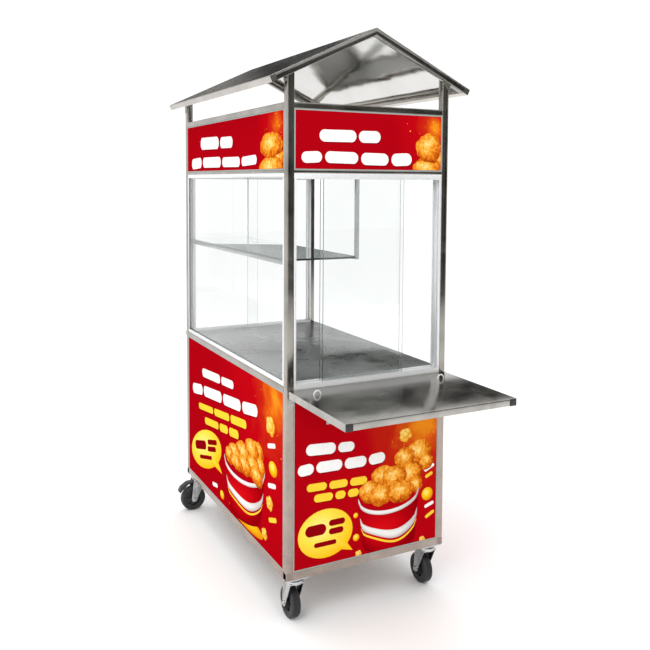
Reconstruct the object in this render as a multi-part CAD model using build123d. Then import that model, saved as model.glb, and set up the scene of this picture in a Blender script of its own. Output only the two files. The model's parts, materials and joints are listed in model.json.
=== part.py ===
from build123d import *
from math import atan, cos, degrees, radians, sin, tan
import os

os.makedirs("parts", exist_ok=True)

# Push vending cart, in millimetres. X runs along the short front, Y goes back along the
# long side, Z is up. The origin is on the ground, under the middle of the whole box.

# ---- overall sizes ----
width = 600.0
depth = 1050.0
ground_gap = 154.0
body_height = 624.0
case_height = 680.0
sign_height = 188.0
roof_side = 69.0
roof_front = 25.0
roof_rise = 175.0
eave_top = 1736.0
flap_reach = 378.0
handle_reach = 57.0

# ---- stock ----
post = 25.0
rail = 20.0
tube_wall = 1.2
sheet = 1.2
track_deep = 40.0
low_header = 10.0
panel_thick = 3.0
panel_inset = 1.0
gasket_wide = 3.5
glass_thick = 5.0
shelf_thick = 6.0
gap = 0.5

# ---- places worked out from the sizes ----
left = -width / 2
right = width / 2
front = (flap_reach - depth - handle_reach) / 2
back = front + depth
base_top = ground_gap + post
counter_top = ground_gap + body_height
sill_height = 20.0
sill_drop = 13.0
sill_rail_top = counter_top - sill_drop
sill_top = sill_rail_top + sill_height
work_top = counter_top + sheet
header_low = counter_top + case_height - low_header
header_low_top = header_low + low_header
sign_top = header_low_top + sign_height
header_top = sign_top + rail
head_height = 18.0
track_under = header_low - head_height
roof_half = width / 2 + roof_side
pitch = atan(roof_rise / roof_half)
apex = eave_top + roof_rise


def block(x0, x1, y0, y1, z0, z1):
    return Pos((x0 + x1) / 2, (y0 + y1) / 2, (z0 + z1) / 2) * Box(x1 - x0, y1 - y0, z1 - z0)


def square_tube(x0, x1, y0, y1, z0, z1, axis, wall=tube_wall):
    a = 0 if axis == "x" else wall
    b = 0 if axis == "y" else wall
    c = 0 if axis == "z" else wall
    return block(x0, x1, y0, y1, z0, z1) - block(x0 + a, x1 - a, y0 + b, y1 - b, z0 + c, z1 - c)


def prism_y(points, y0, y1):
    face = make_face(Polyline([(x, y0, z) for x, z in points], close=True))
    return extrude(face, amount=y1 - y0, dir=(0, 1, 0))


def rod(start, axis, length, radius):
    turn = {"x": (0, 90, 0), "y": (-90, 0, 0), "z": (0, 0, 0)}[axis]
    return Pos(*start) * Rot(*turn) * Cylinder(radius, length, align=(Align.CENTER, Align.CENTER, Align.MIN))


def save(name, *solids):
    shape = solids[0] if len(solids) == 1 else Compound(list(solids))
    export_step(shape, "parts/" + name + ".step")


def both_sides(shape):
    return [shape, mirror(shape, Plane.YZ)]


# ---- frame ----
def slope_point(run, below):
    # a point on the left slope: run from the eave up the slope, below the top face
    x = -roof_half + run * cos(pitch) + below * sin(pitch)
    z = eave_top + run * sin(pitch) - below * cos(pitch)
    return (x, z)


def slope_band(run0, below0, below1, y0, y1):
    # a strip under the left roof slope, cut square at the eave end and upright at the ridge
    ridge0 = (0, apex - below0 / cos(pitch))
    ridge1 = (0, apex - below1 / cos(pitch))
    return prism_y([slope_point(run0, below0), ridge0, ridge1, slope_point(run0, below1)], y0, y1)


def under_roof(below, y0, y1):
    # everything under both slopes, down to the ground
    edge = roof_half + post
    drop = apex - below / cos(pitch)
    low = drop - edge * tan(pitch)
    return prism_y([(0, drop), (edge, low), (edge, 0), (-edge, 0), (-edge, low)], y0, y1)


roof_bar = 20.0
post_x = [(left, left + post), (right - post, right)]
post_y = [(front, front + post, sheet), (back - post, back, sheet + roof_bar)]
posts = []
for x0, x1 in post_x:
    for y0, y1, below in post_y:
        tall = square_tube(x0, x1, y0, y1, ground_gap, apex, "z")
        posts.append(tall & under_roof(below, y0 - 1, y1 + 1))
save("corner_posts", *posts)

in_x = (left + post, right - post)
in_y = (front + post, back - post)
middle_y = (front + back) / 2
base = []
for y0 in (front, middle_y - post / 2, back - post):
    base.append(square_tube(*in_x, y0, y0 + post, ground_gap, base_top, "x"))
for x0 in (left, right - post):
    base.append(square_tube(x0, x0 + post, *in_y, ground_gap, base_top, "y"))
save("base_rails", *base)

counter = []
side_rail_z = (counter_top - rail, counter_top)
for y0 in (front, back - track_deep):
    counter.append(square_tube(*in_x, y0, y0 + track_deep, sill_rail_top - rail, sill_rail_top, "x"))
for x0 in (left, right - rail):
    counter.append(square_tube(x0, x0 + rail, *in_y, *side_rail_z, "y"))
bearer_count = 2
for i in range(bearer_count):
    y0 = front + depth * (i + 1) / (bearer_count + 1) - rail / 2
    counter.append(square_tube(left + rail, right - rail, y0, y0 + rail, *side_rail_z, "x"))
save("counter_rails", *counter)

header = []
for y0 in (front, back - track_deep):
    header.append(square_tube(*in_x, y0, y0 + track_deep, header_low, header_low_top, "x"))
for y0 in (front, back - rail):
    header.append(square_tube(*in_x, y0, y0 + rail, sign_top, header_top, "x"))
for x0 in (left, right - rail):
    header.append(square_tube(x0, x0 + rail, *in_y, header_low, header_low_top, "y"))
    header.append(square_tube(x0, x0 + rail, *in_y, sign_top, header_top, "y"))
save("header_rails", *header)

# ---- panels and their edging ----
body_z = (base_top, counter_top - rail)
end_z = (base_top, sill_rail_top - rail)
sign_z = (header_low_top, sign_top)


def face_plate(side, span, height, edge, deep0, deep1):
    # a flat plate in one side's opening, edge in from it, between two depths from that face
    s0, s1 = span[0] + edge, span[1] - edge
    z0, z1 = height[0] + edge, height[1] - edge
    if side == "front":
        return block(s0, s1, front + deep0, front + deep1, z0, z1)
    if side == "back":
        return block(s0, s1, back - deep1, back - deep0, z0, z1)
    if side == "left":
        return block(left + deep0, left + deep1, s0, s1, z0, z1)
    return block(right - deep1, right - deep0, s0, s1, z0, z1)


panel_back = panel_inset + panel_thick
gasket_face = 0.3


def panel(side, span, height):
    return face_plate(side, span, height, gasket_wide, panel_inset, panel_back)


def gasket(side, span, height):
    outer = face_plate(side, span, height, 0, gasket_face, panel_back)
    return outer - face_plate(side, span, height, gasket_wide, gasket_face - 1, panel_back + 1)


save("front_panel", panel("front", in_x, end_z))
save("rear_panel", panel("back", in_x, end_z))
save("left_panel", panel("left", in_y, body_z))
sign_sides = [("front", in_x), ("back", in_x), ("left", in_y), ("right", in_y)]
save("sign_panels", *[panel(side, span, sign_z) for side, span in sign_sides])
rings = [gasket(side, span, sign_z) for side, span in sign_sides]
rings += [gasket("front", in_x, end_z), gasket("back", in_x, end_z), gasket("left", in_y, body_z)]
save("panel_gaskets", *rings)

# ---- cabinet floor and worktop ----
floor_x = (left + panel_back + gap, right - rail - gap)
floor_y = (front + panel_back + gap, back - panel_back - gap)
floor = block(*floor_x, *floor_y, base_top, base_top + sheet)
for x0, x1 in post_x:
    for y0, y1, _ in post_y:
        floor -= block(x0 - gap, x1 + gap, y0 - gap, y1 + gap, base_top - 1, base_top + sheet + 1)
save("cabinet_floor", floor)

skirt = 29.0
channel = 15.0
channel_wall = 1.5
chan_x = (left + 1, left + 1 + channel)
work_y = (front + track_deep, back - track_deep)
worktop = block(chan_x[1], right - 1, *work_y, counter_top, work_top)
for y0, y1 in ((work_y[0], work_y[0] + sheet), (work_y[1] - sheet, work_y[1])):
    worktop += block(left + rail, right - rail, y0, y1, work_top - skirt, work_top)
save("worktop", worktop)

# ---- sliding glass tracks at the front and back ----
lip = 5.0
groove = 8.0
web = track_deep - 2 * lip - 2 * groove
sill_groove = 12.0
head_groove = 14.0
jamb = 8.0
jamb_groove = 6.0
groove_y = [lip + groove / 2, lip + groove * 1.5 + web]


def end_tracks(y0):
    sill = block(*in_x, y0, y0 + track_deep, sill_rail_top, sill_top)
    head = block(*in_x, y0, y0 + track_deep, track_under, header_low)
    sides = []
    for x0, inward in ((in_x[0], 1), (in_x[1], -1)):
        x1 = x0 + inward * jamb
        sides.append(block(min(x0, x1), max(x0, x1), y0, y0 + track_deep, sill_top, track_under))
    for middle in groove_y:
        g0 = y0 + middle - groove / 2
        g1 = y0 + middle + groove / 2
        sill -= block(in_x[0] - 1, in_x[1] + 1, g0, g1, sill_top - sill_groove, sill_top + 1)
        head -= block(in_x[0] - 1, in_x[1] + 1, g0, g1, track_under - 1, track_under + head_groove)
        cut = block(in_x[0] + jamb - jamb_groove, in_x[1] - jamb + jamb_groove,
                    g0, g1, sill_top - 1, track_under + 1)
        sides = [side - cut for side in sides]
    return [sill, head, *sides]


save("front_tracks", *end_tracks(front))
save("rear_tracks", *end_tracks(back - track_deep))

pane_width = 300.0
pane_rest = 130.0
pane_up = 10.0
pane_z = (sill_top - sill_groove + gap, track_under + pane_up)
pane_end = in_x[1] - jamb + jamb_groove - 1.0


def pane(right_edge, middle):
    half = glass_thick / 2
    return block(right_edge - pane_width, right_edge, middle - half, middle + half, *pane_z)


rear_y = [back - track_deep + m for m in groove_y]
save("front_pane_outer", pane(pane_rest, front + groove_y[0]))
save("front_pane_inner", pane(pane_rest, front + groove_y[1]))
save("rear_pane_inner", pane(pane_end, rear_y[0]))
save("rear_pane_outer", pane(pane_width - pane_end, rear_y[1]))

# ---- fixed glass on the left side, in channels ----
stile_deep = 10.0
glass_x = (left + 1 + (channel - glass_thick) / 2, left + 1 + (channel + glass_thick) / 2)
slot_x = (chan_x[0] + channel_wall, chan_x[1] - channel_wall)
low_chan = block(*chan_x, *in_y, counter_top, counter_top + channel)
low_chan -= block(*slot_x, in_y[0] - 1, in_y[1] + 1, counter_top + channel_wall, counter_top + channel + 1)
high_chan = block(*chan_x, *in_y, header_low - channel, header_low)
high_chan -= block(*slot_x, in_y[0] - 1, in_y[1] + 1, header_low - channel - 1, header_low - channel_wall)
stile_z = (counter_top + channel, header_low - channel)
stiles = []
for y0, y1, s0, s1 in (
    (in_y[0], in_y[0] + stile_deep, in_y[0] + channel_wall, in_y[0] + stile_deep + 1),
    (in_y[1] - stile_deep, in_y[1], in_y[1] - stile_deep - 1, in_y[1] - channel_wall),
):
    stiles.append(block(*chan_x, y0, y1, *stile_z) - block(*slot_x, s0, s1, stile_z[0] - 1, stile_z[1] + 1))
save("side_glass_channels", low_chan, high_chan, *stiles)
glass_y = (in_y[0] + channel_wall, in_y[1] - channel_wall)
side_glass = block(*glass_x, *glass_y, counter_top + channel_wall, header_low - channel_wall - 2 * gap)
save("side_glass", side_glass)

# ---- glass shelf, its ledge and hangers ----
shelf_top = 1176.0
shelf_low = shelf_top - shelf_thick
shelf_right = -20.0
ledge_wide = 8.0
ledge_tall = 12.0
ledge_wall = 1.5
hanger = 12.0
hanger_wall = 1.2
hanger_x = shelf_right - 10.0
foot = 2.0
foot_long = 34.0
ledge_x = chan_x[1] + gap
shelf_y = (front + track_deep + hanger + 1, back - track_deep - 6)
save("shelf_glass", block(ledge_x, shelf_right, *shelf_y, shelf_low, shelf_top))
angle = block(ledge_x, ledge_x + ledge_wide, *in_y, shelf_low - ledge_wall, shelf_low)
angle += block(ledge_x, ledge_x + ledge_wall, *in_y, shelf_low - ledge_tall, shelf_low)
hang_y = front + track_deep
hang_x = (hanger_x - hanger / 2, hanger_x + hanger / 2)
drop_tube = square_tube(*hang_x, hang_y, hang_y + hanger, shelf_low, header_low_top, "z", hanger_wall)
drop_tube += block(*hang_x, hang_y, hang_y + foot_long, shelf_low - foot, shelf_low)
rod_r = 2.5
rod_y = back - track_deep - rod_r
rear_rod = rod((hanger_x, rod_y, shelf_low - foot), "z", header_low_top - shelf_low + foot, rod_r)
rear_rod += block(*hang_x, rod_y - foot_long, rod_y, shelf_low - foot, shelf_low)
save("shelf_supports", angle, drop_tube, rear_rod)

# ---- sliding doors on the open side's cabinet ----
door_track = 20.0
door_lip = 2.0
door_groove = 6.0
door_low = 10.0
door_high = 12.0
door_thick = 4.0
door_lap = 28.0
track_x = (right - door_track, right)
rail_under = counter_top - rail
low_track = block(*track_x, *in_y, base_top, base_top + door_low)
high_track = block(*track_x, *in_y, rail_under - door_high, rail_under)
door_mid = [right - door_lip - door_groove / 2, right - door_track + door_lip + door_groove / 2]
track_floor = 3.0
for x in door_mid:
    g = (x - door_groove / 2, x + door_groove / 2)
    low_track -= block(*g, in_y[0] - 1, in_y[1] + 1, base_top + track_floor, base_top + door_low + 1)
    high_track -= block(*g, in_y[0] - 1, in_y[1] + 1, rail_under - door_high - 1, rail_under - 2)
save("cabinet_door_tracks", low_track, high_track)
door_z = (base_top + track_floor + gap, rail_under - door_high + 8)
door_long = (in_y[1] - in_y[0] + door_lap) / 2 - 1
pull_r = 26.0
pull_flange = 4.0
pull_wall = 2.0
pull_out = 2.0
pull_floor = 1.0
pull_from_end = 55.0
door_spans = [(in_y[0] + 1, in_y[0] + 1 + door_long), (in_y[1] - 1 - door_long, in_y[1] - 1)]
for name, x, span, pull_y in (
    ("front", door_mid[0], door_spans[0], door_spans[0][0] + pull_from_end),
    ("rear", door_mid[1], door_spans[1], door_spans[1][1] - pull_from_end),
):
    face = x + door_thick / 2
    cup_z = (door_z[0] + door_z[1]) / 2
    cup_r = pull_r - pull_flange
    cup = rod((face - door_thick, pull_y, cup_z), "x", door_thick + pull_out, cup_r)
    ring = rod((face, pull_y, cup_z), "x", pull_out, pull_r)
    hole = rod((face - door_thick + pull_floor, pull_y, cup_z), "x", 2 * door_thick, cup_r - pull_wall)
    opening = rod((face - 2 * door_thick, pull_y, cup_z), "x", 3 * door_thick, cup_r)
    save("cabinet_door_" + name, block(face - door_thick, face, *span, *door_z) - opening)
    save("cabinet_door_pull_" + name, cup + ring - hole)

# ---- roof ----
roof_y = (front - roof_front, back)
for name, keep in (("left", 0), ("right", 1)):
    save("roof_sheet_" + name, both_sides(slope_band(0, 0, sheet, *roof_y))[keep])

inner = tube_wall
rafters = []
for y0, y1 in ((front - roof_front, front), (back - post, back)):
    bar = slope_band(roof_bar, sheet, sheet + roof_bar, y0, y1)
    hollow = slope_band(roof_bar - 1, sheet + inner, sheet + roof_bar - inner, y0 + inner, y1 - inner)
    rafters += both_sides(bar - hollow)
save("roof_rafters", *rafters)

cap = 1.2


def eave_bar(inset, y0, y1):
    # the square section that follows the slope along the eave, shrunk by inset on each side
    r0, r1 = inset, roof_bar - inset
    b0, b1 = sheet + inset, sheet + roof_bar - inset
    corners = [slope_point(r0, b0), slope_point(r1, b0), slope_point(r1, b1), slope_point(r0, b1)]
    return prism_y(corners, y0, y1)


tube = eave_bar(0, roof_y[0] + cap, roof_y[1] - cap) - eave_bar(tube_wall, roof_y[0] - 1, roof_y[1] + 1)
purlins = both_sides(tube)
for y0 in (roof_y[0], roof_y[1] - cap):
    purlins += both_sides(eave_bar(0, y0, y0 + cap))
ridge_top = apex - sheet / cos(pitch) - roof_bar / 2 * tan(pitch)
ridge_y = (front, back - post)
purlins.append(square_tube(-roof_bar / 2, roof_bar / 2, *ridge_y, ridge_top - roof_bar, ridge_top, "y"))
save("roof_bars", *purlins)

bracket = 2.0
bracket_drop = 38.0
bracket_arm = 30.0
screw_r = 3.0
screw_tall = 1.5
brackets = []
screws = []
for y0, y1, below in post_y:
    out_x = left - bracket
    far_x = out_x - bracket_arm
    ceiling = apex - below / cos(pitch)
    far_z = ceiling + far_x * tan(pitch)
    out_z = ceiling + out_x * tan(pitch)
    post_z = ceiling + left * tan(pitch)
    thick = bracket / cos(pitch)
    shape = prism_y([(far_x, far_z), (left, post_z), (left, post_z - bracket_drop),
                     (out_x, post_z - bracket_drop), (out_x, out_z - thick), (far_x, far_z - thick)], y0, y1)
    brackets += both_sides(shape)
    for down in (bracket_drop * 0.4, bracket_drop * 0.78):
        head = rod((out_x - screw_tall, (y0 + y1) / 2, post_z - down), "x", screw_tall, screw_r)
        screws += both_sides(head)
save("roof_brackets", *brackets)

# ---- push handle ----
handle_r = 12.5
handle_wall = 1.5
handle_drop = 14.0
bend = 30.0
handle_z = counter_top - handle_drop
reach = handle_reach - handle_r
grip_x = right - handle_r
path = FilletPolyline((-grip_x, back, handle_z), (-grip_x, back + reach, handle_z),
                      (grip_x, back + reach, handle_z), (grip_x, back, handle_z), radius=bend)
start = Plane(origin=(-grip_x, back, handle_z), z_dir=(0, 1, 0))
ring = start * (Circle(handle_r) - Circle(handle_r - handle_wall))
save("push_handle", sweep(ring, path=path))

# ---- folding front flap ----
flap_bar = 24.0
flap_tall = 22.0
flap_side = 5.0
flap_gap = 2.5
flap_wall = 1.2
flap_recess = 2.0
flap_below_sill = 16.0
plug_head = 1.5
plug_in = 12.0
bearer_x = 70.0
bearer_tall = 12.0
flap_top = sill_top - flap_below_sill
flap_low = flap_top - flap_tall
flap_x = (left + flap_side, right - flap_side)
flap_y = (front - flap_reach, front - flap_gap)
flap_in_x = (flap_x[0] + flap_bar, flap_x[1] - flap_bar)
bar_y = (flap_y[0] + plug_head, flap_y[1])
flap_in_y = (bar_y[0] + flap_bar, bar_y[1] - flap_bar)
tray_top = flap_top - flap_recess
tray_low = tray_top - sheet
bars = []
for x0 in (flap_x[0], flap_x[1] - flap_bar):
    bars.append(square_tube(x0, x0 + flap_bar, *bar_y, flap_low, flap_top, "y", flap_wall))
for y0 in (bar_y[0], bar_y[1] - flap_bar):
    bars.append(square_tube(*flap_in_x, y0, y0 + flap_bar, flap_low, flap_top, "x", flap_wall))
for x in (-bearer_x, bearer_x):
    sides = (x - flap_bar / 2, x + flap_bar / 2)
    bars.append(square_tube(*sides, *flap_in_y, tray_low - bearer_tall, tray_low, "y", flap_wall))
save("flap_frame", *bars)
save("flap_tray", block(*flap_in_x, *flap_in_y, tray_low, tray_top))

plugs = []
for x0 in (flap_x[0], flap_x[1] - flap_bar):
    head = block(x0, x0 + flap_bar, flap_y[0], bar_y[0], flap_low, flap_top)
    neck = block(x0 + flap_wall, x0 + flap_bar - flap_wall, flap_y[0], flap_y[0] + plug_in,
                 flap_low + flap_wall, flap_top - flap_wall)
    plugs.append(head + neck)
save("flap_end_plugs", *plugs)

# butt hinges on the two front posts, under the flap's side bars
knuckle = 3.5
pin_r = 1.6
run_clear = 0.08
end_clear = 0.3
leaf = 1.5
leaf_long = 24.0
hinge_y = front - knuckle - gap
hinge_z = flap_low - knuckle - gap
pieces = 3
hinge_x = (flap_x[0], left + post)
step = (hinge_x[1] - hinge_x[0]) / pieces
room_r = knuckle + gap
fixed_leaf = block(*hinge_x, front - leaf, front, hinge_z - leaf_long, hinge_z)
flap_leaf = block(*hinge_x, hinge_y - leaf_long, hinge_y, flap_low - leaf, flap_low)
for k in range(pieces):
    x0 = hinge_x[0] + k * step + end_clear / 2
    barrel = rod((x0, hinge_y, hinge_z), "x", step - end_clear, knuckle)
    room = rod((x0 - end_clear, hinge_y, hinge_z), "x", step + end_clear, room_r)
    x1 = x0 + step - end_clear
    if k % 2:
        fixed_leaf -= room
        flap_leaf += barrel + block(x0, x1, hinge_y - knuckle, hinge_y, hinge_z, flap_low)
    else:
        flap_leaf -= room
        fixed_leaf += barrel + block(x0, x1, hinge_y, front, hinge_z - knuckle, hinge_z)
bore = rod((hinge_x[0] - 1, hinge_y, hinge_z), "x", hinge_x[1] - hinge_x[0] + 2, pin_r + run_clear)
save("flap_hinge_fixed_leaves", *both_sides(fixed_leaf - bore))
save("flap_hinge_moving_leaves", *both_sides(flap_leaf - bore))
pins = both_sides(rod((hinge_x[0], hinge_y, hinge_z), "x", hinge_x[1] - hinge_x[0], pin_r))
leaf_screw_r = 2.2
leaf_screw_tall = 1.0
for k in (0.22, 0.78):
    x = hinge_x[0] + k * (hinge_x[1] - hinge_x[0])
    head_at = (x, front - leaf - leaf_screw_tall, hinge_z - leaf_long * 0.6)
    screws += both_sides(rod(head_at, "y", leaf_screw_tall, leaf_screw_r))

# ---- sliding braces that hold the flap up ----
stay_x = -150.0
strap_wide = 20.0
strap_thick = 1.5
strap_low = 644.0
ear_thick = 2.5
stay_thick = 4.0
stay_wide = 14.0
stay_pin_r = 2.5
rail_thick = 2.0
slot_wide = 7.0
stud_r = 3.0
slot_up = 10.0
slot_near = 120.0
slot_far = 231.0
pivot_out = 7.0
pivot_down = 84.0
pivot_y = hinge_y - pivot_out
pivot_z = hinge_z - pivot_down
strap_x = (stay_x - strap_wide / 2, stay_x + strap_wide / 2)
bar_x = (strap_x[1] - 1 - stay_thick, strap_x[1] - 1)
ear_x = (strap_x[1], strap_x[1] + ear_thick)
strap = block(*strap_x, front - strap_thick, front, strap_low, sill_rail_top - gasket_wide)
ear = block(*ear_x, pivot_y - stay_wide / 2, front, pivot_z - stay_wide / 2, pivot_z + stay_wide / 2)
strap += ear + block(strap_x[1], ear_x[1], front - strap_thick, front, strap_low, pivot_z + stay_wide)
strap -= rod((ear_x[0] - 1, pivot_y, pivot_z), "x", ear_thick + 2, stay_pin_r)
save("stay_straps", *both_sides(strap))
stay_pin = rod((bar_x[0] - 1, pivot_y, pivot_z), "x", ear_x[1] - bar_x[0] + 1, stay_pin_r)
stay_pin += rod((bar_x[0] - 2.5, pivot_y, pivot_z), "x", 2, stay_pin_r + 2)
stay_pin += rod((ear_x[1], pivot_y, pivot_z), "x", 1, stay_pin_r + 2)
pins += both_sides(stay_pin)
save("flap_pins", *pins)

end_y = hinge_y - slot_near
end_z = hinge_z + slot_up
stay_length = ((end_y - pivot_y) ** 2 + (end_z - pivot_z) ** 2) ** 0.5
lean = degrees(atan((end_z - pivot_z) / (pivot_y - end_y)))
flat_bar = block(*bar_x, -stay_length, 0, -stay_wide / 2, stay_wide / 2)
flat_bar += rod((bar_x[0], 0, 0), "x", stay_thick, stay_wide / 2)
flat_bar += rod((bar_x[0], -stay_length, 0), "x", stay_thick, stay_wide / 2)
flat_bar -= rod((bar_x[0] - 1, 0, 0), "x", stay_thick + 2, stay_pin_r + run_clear)
rail_x = (bar_x[0] - 5, bar_x[0] - 5 + rail_thick)
flat_bar += rod((rail_x[1] + gap, -stay_length, 0), "x", bar_x[0] - rail_x[1] - gap, stud_r)
stay = Pos(0, pivot_y, pivot_z) * Rot(-lean, 0, 0) * flat_bar
for name, shape in zip(("left", "right"), both_sides(stay)):
    save("flap_stay_" + name, shape)

rail_over = 14.0
rail_flange = 8.0
slot_y = (hinge_y - slot_far, hinge_y - slot_near)
keeper_y = (slot_y[0] - rail_over, slot_y[1] + rail_over)
keeper = block(*rail_x, *keeper_y, flap_low + 1, tray_low)
keeper += block(rail_x[0] - rail_flange, rail_x[0], *keeper_y, tray_low - rail_thick, tray_low)
keeper -= block(rail_x[0] - 1, rail_x[1] + 1, *slot_y, end_z - slot_wide / 2, end_z + slot_wide / 2)
for y in slot_y:
    keeper -= rod((rail_x[0] - 1, y, end_z), "x", rail_thick + 2, slot_wide / 2)
save("flap_stay_rails", *both_sides(keeper))
save("frame_screws", *screws)

# ---- casters ----
wheel_r = 52.0
tyre_wide = 32.0
tyre_bore_r = 35.0
trail = 30.0
axle_r = 4.0
caster_inset = 32.0
caster_x = right - 44.0
plate_thick = 4.0
plate_half = (40.0, 32.0)
race_r = 25.0
race_tall = 8.0
kingpin_r = 7.0
king_clear = 0.4
ring_r = 29.0
ring_low = -22.0
nut_r = 11.0
nut_low = -30.0
fork_thick = 3.0
fork_in = 22.0
crown_thick = 4.0
leg_top_x = (-24.0, 32.0)
leg_round = 12.0
bolt_head_r = 6.5
bolt_head_tall = 5.0
hub_set_in = 2.0
hub_dish = 8.0
hub_rim = 5.0
hub_boss_r = 11.0
tyre_round = 7.0
pedal_boss_r = 5.0
pedal_pin_r = 2.5
pedal_pin = (26.0, -32.0)
pedal_half = 14.0
axle_z = wheel_r - ground_gap
race_low = -plate_thick - race_tall
fork_out = fork_in + fork_thick


def leg_shape(y0):
    # a pressed leg: wide at the crown and rounded about the axle
    leg_top = ring_low + crown_thick
    side = prism_y([(leg_top_x[0], leg_top), (leg_top_x[1], leg_top),
                    (trail + leg_round, axle_z), (trail - leg_round, axle_z)], y0, y0 + fork_thick)
    side += rod((trail, y0, axle_z), "y", fork_thick, leg_round)
    return side - rod((trail, y0 - 1, axle_z), "y", fork_thick + 2, axle_r)


def fork(with_pedal):
    crown = block(*leg_top_x, -fork_out, fork_out, ring_low, ring_low + crown_thick)
    crown += rod((0, 0, ring_low), "z", race_low - king_clear - ring_low, ring_r)
    body = crown + leg_shape(-fork_out) + leg_shape(fork_in)
    body -= rod((0, 0, ring_low - 1), "z", 40, kingpin_r + run_clear)
    bolt_end = fork_out + bolt_head_tall
    bolt = rod((trail, -bolt_end, axle_z), "y", 2 * bolt_end, axle_r)
    bolt += rod((trail, -bolt_end, axle_z), "y", bolt_head_tall, bolt_head_r)
    bolt += rod((trail, fork_out, axle_z), "y", bolt_head_tall, bolt_head_r)
    if not with_pedal:
        return [body, bolt]
    pin = rod((pedal_pin[0], -fork_out - 1, pedal_pin[1]), "y", 2 * fork_out + 2, pedal_pin_r)
    return [body - rod((pedal_pin[0], -60, pedal_pin[1]), "y", 120, pedal_pin_r), bolt, pin]


def hub():
    half = tyre_wide / 2
    dish_r = tyre_bore_r - hub_rim
    disc = rod((trail, -half + hub_set_in, axle_z), "y", tyre_wide - 2 * hub_set_in, tyre_bore_r)
    disc -= rod((trail, -half, axle_z), "y", hub_dish, dish_r)
    disc -= rod((trail, half - hub_dish, axle_z), "y", hub_dish, dish_r)
    disc += rod((trail, -fork_in + gap, axle_z), "y", 2 * (fork_in - gap), hub_boss_r)
    return disc - rod((trail, -fork_in, axle_z), "y", 2 * fork_in, axle_r + run_clear)


def tyre():
    ring = rod((0, 0, 0), "y", tyre_wide, wheel_r)
    ring = fillet(ring.edges().filter_by(GeomType.CIRCLE), tyre_round)
    ring -= rod((0, -1, 0), "y", tyre_wide + 2, tyre_bore_r)
    return Pos(trail, -tyre_wide / 2, axle_z) * ring


def pedal():
    px, pz = pedal_pin
    r = pedal_boss_r
    outline = [(px - r, pz + r), (58, -30), (86, -48), (94, -66),
               (88, -70), (80, -60), (54, -38), (px, pz - r), (px - r, pz)]
    shape = prism_y(outline, -pedal_half, pedal_half)
    shape += rod((px, -fork_in + gap, pz), "y", 2 * (fork_in - gap), r)
    return shape - rod((px, -fork_in, pz), "y", 2 * fork_in, pedal_pin_r + run_clear)


plates = []
corner_casters = [
    ("front_left", -caster_x, front + caster_inset, 90, False),
    ("front_right", caster_x, front + caster_inset, 90, False),
    ("rear_left", -caster_x, back - caster_inset, 180, True),
    ("rear_right", caster_x, back - caster_inset, 55, True),
]
for name, x, y, turn, braked in corner_casters:
    place = Pos(x, y, ground_gap)
    turned = place * Rot(0, 0, turn)
    top = block(-plate_half[0], plate_half[0], -plate_half[1], plate_half[1], -plate_thick, 0)
    top += rod((0, 0, race_low), "z", race_tall, race_r)
    top += rod((0, 0, nut_low), "z", race_low - nut_low, kingpin_r)
    top += rod((0, 0, nut_low), "z", ring_low - king_clear - nut_low, nut_r)
    plates.append(place * top)
    save("caster_fork_" + name, *[turned * piece for piece in fork(braked)])
    save("caster_hub_" + name, turned * hub())
    save("caster_tyre_" + name, turned * tyre())
    if braked:
        save("brake_pedal_" + name, turned * pedal())
save("caster_plates", *plates)
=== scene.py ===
import bpy
import json
import math
import random
from mathutils import Matrix, Vector


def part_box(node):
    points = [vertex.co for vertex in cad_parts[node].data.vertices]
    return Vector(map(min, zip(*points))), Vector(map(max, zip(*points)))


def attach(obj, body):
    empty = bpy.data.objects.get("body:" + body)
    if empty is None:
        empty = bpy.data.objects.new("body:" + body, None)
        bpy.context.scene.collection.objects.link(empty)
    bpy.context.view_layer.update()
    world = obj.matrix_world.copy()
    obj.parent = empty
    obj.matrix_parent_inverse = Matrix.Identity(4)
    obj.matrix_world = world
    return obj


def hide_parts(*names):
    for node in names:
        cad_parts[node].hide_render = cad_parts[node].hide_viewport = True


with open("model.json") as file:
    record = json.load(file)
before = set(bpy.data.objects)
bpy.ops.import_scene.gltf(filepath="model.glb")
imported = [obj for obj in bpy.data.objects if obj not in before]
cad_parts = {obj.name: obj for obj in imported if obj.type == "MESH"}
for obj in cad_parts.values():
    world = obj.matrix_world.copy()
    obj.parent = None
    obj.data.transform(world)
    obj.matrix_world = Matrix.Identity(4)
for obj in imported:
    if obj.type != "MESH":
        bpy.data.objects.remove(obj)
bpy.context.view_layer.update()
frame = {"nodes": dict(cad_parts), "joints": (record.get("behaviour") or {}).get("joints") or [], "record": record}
nodes = frame["nodes"]
joints = {joint["name"]: joint for joint in frame["joints"]}
mm = 0.001
weld = {"lathe": 0.000005, "machined": 0.00001}
print("frame loaded")


def deselectAll():
    if bpy.context.object and bpy.context.object.mode != "OBJECT":
        bpy.ops.object.mode_set(mode="OBJECT")
    bpy.ops.object.select_all(action="DESELECT")


def pick(obj):
    deselectAll()
    obj.select_set(True)
    bpy.context.view_layer.objects.active = obj


def edit(obj, mode="FACE"):
    pick(obj)
    bpy.ops.object.mode_set(mode="EDIT")
    bpy.ops.mesh.select_mode(type=mode)
    bpy.ops.mesh.select_all(action="DESELECT")


def editAll(obj, mode="FACE"):
    edit(obj, mode)
    bpy.ops.mesh.select_all(action="SELECT")


def done():
    bpy.ops.object.mode_set(mode="OBJECT")


def chooseEdges(obj, test):
    # called in edit mode: selects the edges whose two ends pass the test
    bpy.ops.object.mode_set(mode="OBJECT")
    verts = obj.data.vertices
    for edge in obj.data.edges:
        edge.select = bool(test(verts[edge.vertices[0]].co, verts[edge.vertices[1]].co))
    bpy.ops.object.mode_set(mode="EDIT")


def applyPlace(obj):
    pick(obj)
    bpy.ops.object.transform_apply(location=True, rotation=True, scale=True)
    return obj


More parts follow.
